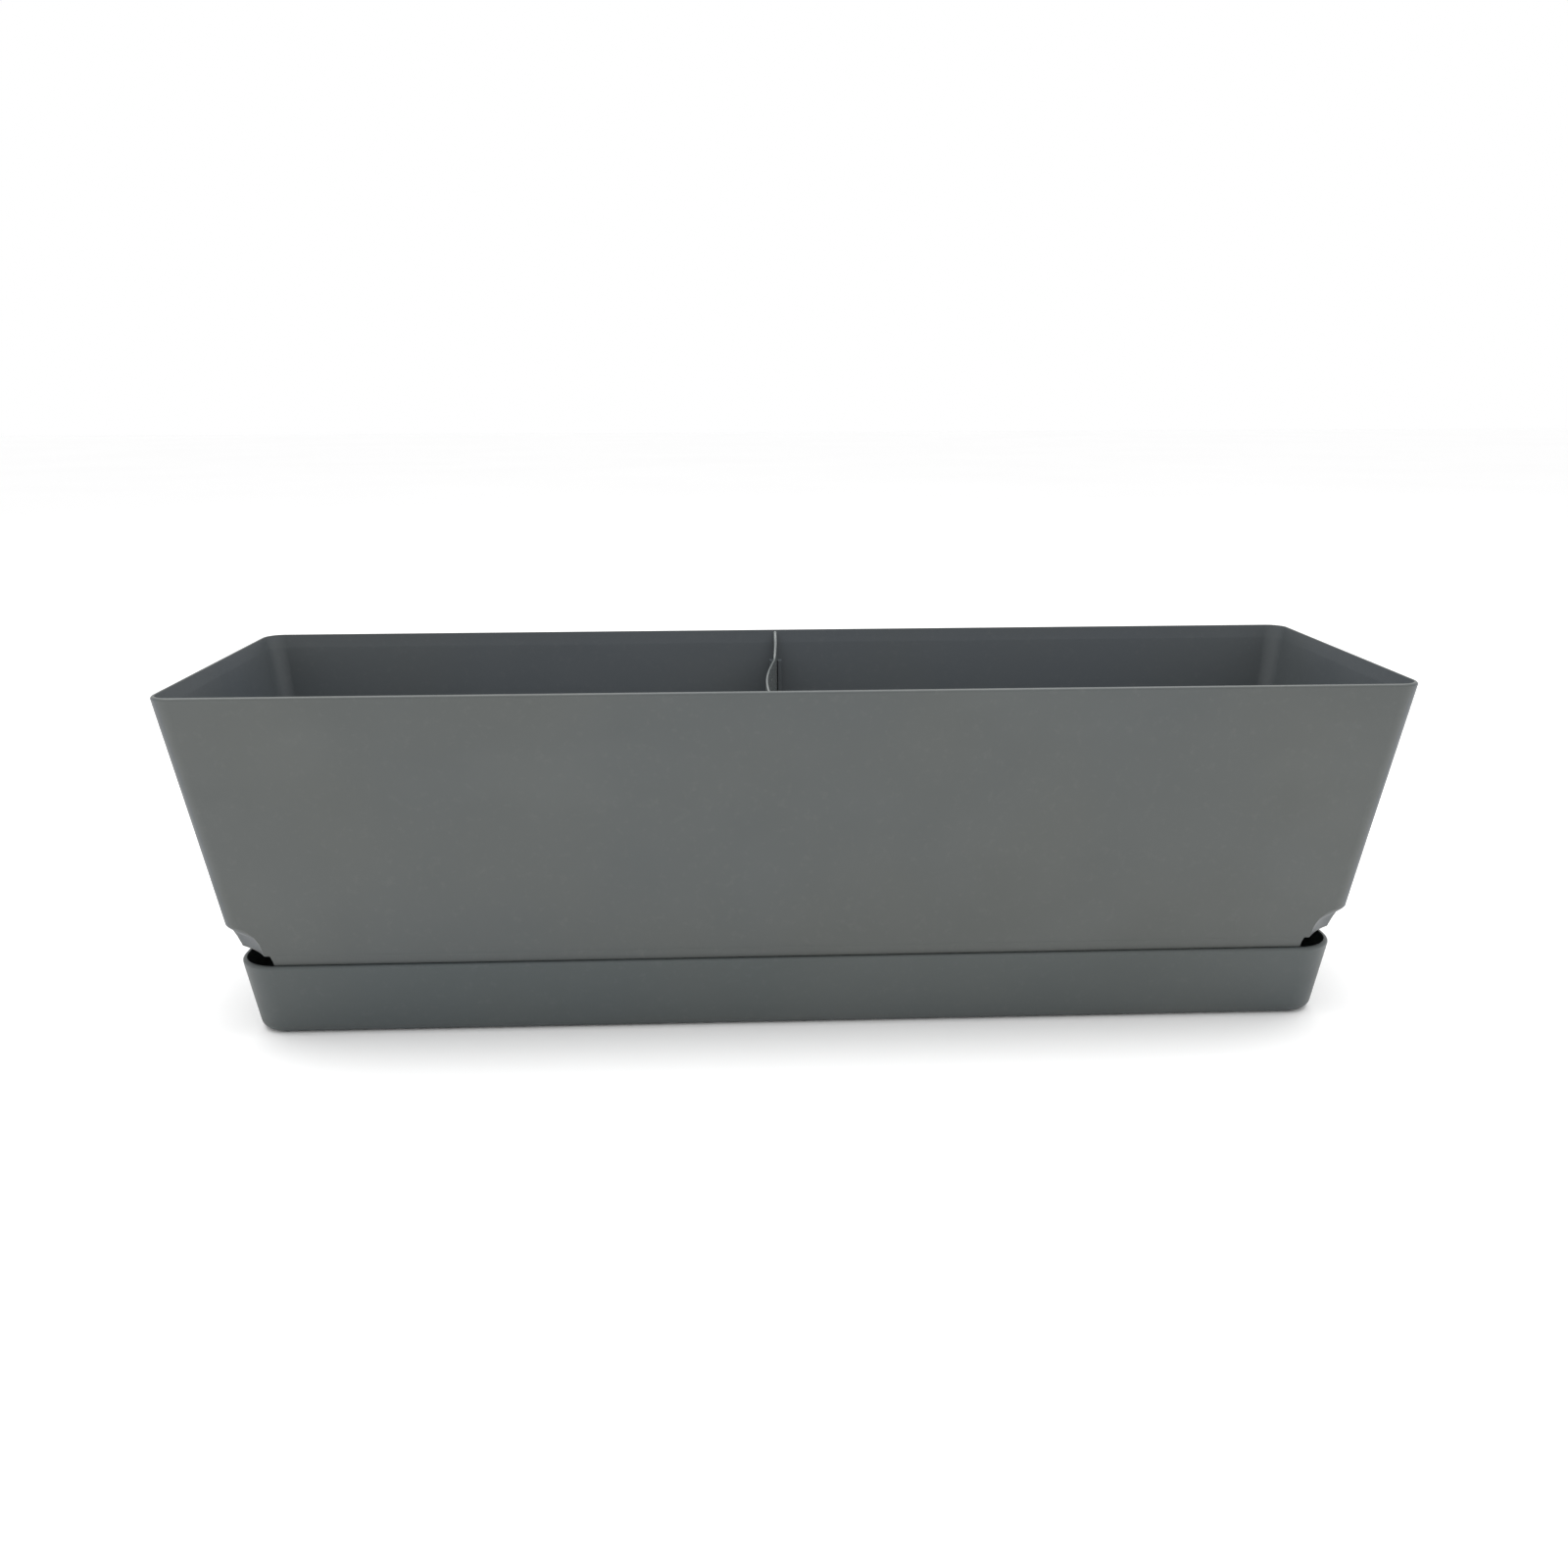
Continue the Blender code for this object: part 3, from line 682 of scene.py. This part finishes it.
def plastic(name, cool, warm, pale, roughness, grain):
    """Satin moulded polypropylene: drifting tone, faint flow marks, scuffs, fine spark grain."""
    material, tree, shader = new_material(name, IOR=1.49, Specular_IOR_Level=0.5)
    place = add_node(tree, "ShaderNodeTexCoord").outputs["Object"]
    drift = remap(tree, noise_field(tree, place, 7.0, 2.0), 0.35, 0.65, 0.0, 1.0)
    colour = mix_colour(tree, drift, cool, warm)
    flow = noise_field(tree, place, 9.0, 3.0, (0.7, 1.0, 1.5))
    colour = mix_colour(tree, remap(tree, flow, 0.50, 0.78, 0.0, 0.28), colour, pale)
    mottle = noise_field(tree, place, 240.0, 4.0, roughness=0.65)
    colour = mix_colour(tree, remap(tree, mottle, 0.55, 0.85, 0.0, 0.40), colour, pale)
    scuffs = noise_field(tree, place, 60.0, 6.0, (6.0, 0.6, 0.35), 0.7)
    scuff = remap(tree, scuffs, 0.66, 0.80, 0.0, 1.0)
    colour = mix_colour(tree, remap(tree, scuffs, 0.66, 0.80, 0.0, 0.22), colour, pale)
    tree.links.new(colour, shader.inputs["Base Color"])
    rough = remap(tree, noise_field(tree, place, 35.0, 5.0), 0.3, 0.7, roughness - 0.05, roughness + 0.06)
    lift = add_node(tree, "ShaderNodeMath", operation="MULTIPLY_ADD")
    tree.links.new(scuff, lift.inputs[0])
    lift.inputs[1].default_value = 0.08
    tree.links.new(rough, lift.inputs[2])
    tree.links.new(lift.outputs["Value"], shader.inputs["Roughness"])
    waves = bump(tree, noise_field(tree, place, 16.0, 1.0, (0.5, 1.0, 1.0)), 0.0006, 0.35)
    fine = bump(tree, noise_field(tree, place, 2400.0, 3.0), grain, 0.35, waves)
    tree.links.new(fine, shader.inputs["Normal"])
    return material


def felt_material():
    """Undyed needled felt: crossing fibres, needle pits and darker flecks."""
    material, tree, shader = new_material("wicking_felt", Roughness=0.95, Sheen_Weight=0.35,
                                          Sheen_Roughness=0.6, Specular_IOR_Level=0.2)
    place = add_node(tree, "ShaderNodeTexCoord").outputs["Object"]
    lengthways = noise_field(tree, place, 900.0, 4.0, (0.18, 1.0, 0.18), 0.7)
    crossways = noise_field(tree, place, 900.0, 4.0, (1.0, 0.2, 1.0), 0.7)
    patches = noise_field(tree, place, 120.0, 3.0)
    colour = mix_colour(tree, remap(tree, lengthways, 0.35, 0.7, 0.0, 1.0), (0.50, 0.47, 0.41),
                        (0.70, 0.68, 0.61))
    colour = mix_colour(tree, remap(tree, crossways, 0.52, 0.75, 0.0, 0.6), colour, (0.78, 0.76, 0.69))
    colour = mix_colour(tree, remap(tree, patches, 0.55, 0.8, 0.0, 0.5), colour, (0.44, 0.41, 0.35))
    tree.links.new(colour, shader.inputs["Base Color"])
    first = bump(tree, lengthways, 0.0003, 0.7)
    second = bump(tree, crossways, 0.0003, 0.6, first)
    pits = add_node(tree, "ShaderNodeTexVoronoi", Scale=420.0)
    tree.links.new(place, pits.inputs["Vector"])
    third = bump(tree, pits.outputs["Distance"], 0.0002, 0.4, second)
    tree.links.new(third, shader.inputs["Normal"])
    return material


def floor_material():
    material, tree, shader = new_material("studio_floor", Roughness=0.9, Specular_IOR_Level=0.1)
    place = add_node(tree, "ShaderNodeTexCoord").outputs["Object"]
    tone = remap(tree, noise_field(tree, place, 1.3, 2.0), 0.3, 0.7, 0.0, 1.0)
    colour = mix_colour(tree, tone, (0.982, 0.982, 0.982), (0.995, 0.995, 0.995))
    tree.links.new(colour, shader.inputs["Base Color"])
    return material


# The studio

def fill_floor(bm):
    """A floor that runs far enough to pass the horizon."""
    bmesh.ops.create_grid(bm, x_segments=4, y_segments=4, size=FLOOR_REACH)


def add_light(name, place, target, size, energy):
    """A soft box."""
    light = bpy.data.lights.new(name, "AREA")
    light.shape = "RECTANGLE"
    light.size, light.size_y = size
    light.energy = energy
    thing = bpy.data.objects.new(name, light)
    thing.location = place
    thing.rotation_euler = (Vector(target) - Vector(place)).to_track_quat("-Z", "Y").to_euler()
    bpy.context.scene.collection.objects.link(thing)


def make_studio():
    scene = bpy.context.scene
    world = bpy.data.worlds.new("studio")
    world.use_nodes = True
    world.node_tree.nodes["Background"].inputs["Color"].default_value = (1.0, 1.0, 1.0, 1.0)
    world.node_tree.nodes["Background"].inputs["Strength"].default_value = 1.0
    scene.world = world
    floor = new_object("floor", fill_floor)
    floor.data.materials.append(floor_material())
    add_light("overhead", LIGHT_PLACE, LIGHT_TARGET, LIGHT_SIZE, LIGHT_POWER)
    scene.view_settings.view_transform = "Standard"
    scene.view_settings.look = "None"


def make_camera():
    """The camera stands a little left of the middle, in front and above, and looks down."""
    yaw, pitch, roll = [math.radians(angle) for angle in CAMERA_TURN]
    level = Vector((math.sin(yaw), math.cos(yaw), 0.0))
    right = Vector((math.cos(yaw), -math.sin(yaw), 0.0))
    forward = level * math.cos(pitch) + Vector((0.0, 0.0, -math.sin(pitch)))
    up = right.cross(forward)
    rolled_right = right * math.cos(roll) + up * math.sin(roll)
    rolled_up = up * math.cos(roll) - right * math.sin(roll)
    camera = bpy.data.cameras.new("camera")
    camera.sensor_fit = "HORIZONTAL"
    camera.sensor_width = CAMERA_SENSOR
    camera.lens = CAMERA_LENS
    camera.clip_start = CAMERA_NEAR
    thing = bpy.data.objects.new("camera", camera)
    turn = Matrix((rolled_right, rolled_up, -forward)).transposed().to_4x4()
    thing.matrix_world = Matrix.Translation(CAMERA_PLACE) @ turn
    bpy.context.scene.collection.objects.link(thing)
    bpy.context.scene.camera = thing


def main():
    make_camera()
    make_studio()
    trough = plastic("trough_polypropylene", (0.066, 0.074, 0.074), (0.071, 0.077, 0.073),
                     (0.104, 0.113, 0.109), 0.42, 0.00003)
    # The inside's plastic is the trough's made darker and bluer: painted shade for the trough's inside.
    inside = plastic("trough_inside_painted_shade_polypropylene", (0.061, 0.071, 0.080), (0.065, 0.074, 0.078),
                     (0.095, 0.105, 0.111), 0.48, 0.00003)
    tray = plastic("tray_polypropylene", (0.053, 0.064, 0.066), (0.058, 0.067, 0.066),
                   (0.088, 0.098, 0.098), 0.44, 0.00003)
    # The brace's plastic is the trough's made much lighter: a painted highlight along the brace.
    brace = plastic("brace_painted_highlight_polypropylene", (0.112, 0.124, 0.125), (0.118, 0.128, 0.123),
                    (0.180, 0.190, 0.187), 0.26, 0.00002)
    basket = plastic("basket_polypropylene", (0.026, 0.029, 0.029), (0.031, 0.034, 0.033),
                     (0.055, 0.058, 0.058), 0.52, 0.00004)
    make_trough(trough, inside)
    make_tray(tray)
    make_brace(brace)
    make_baskets(basket)
    make_wicks(felt_material())


main()
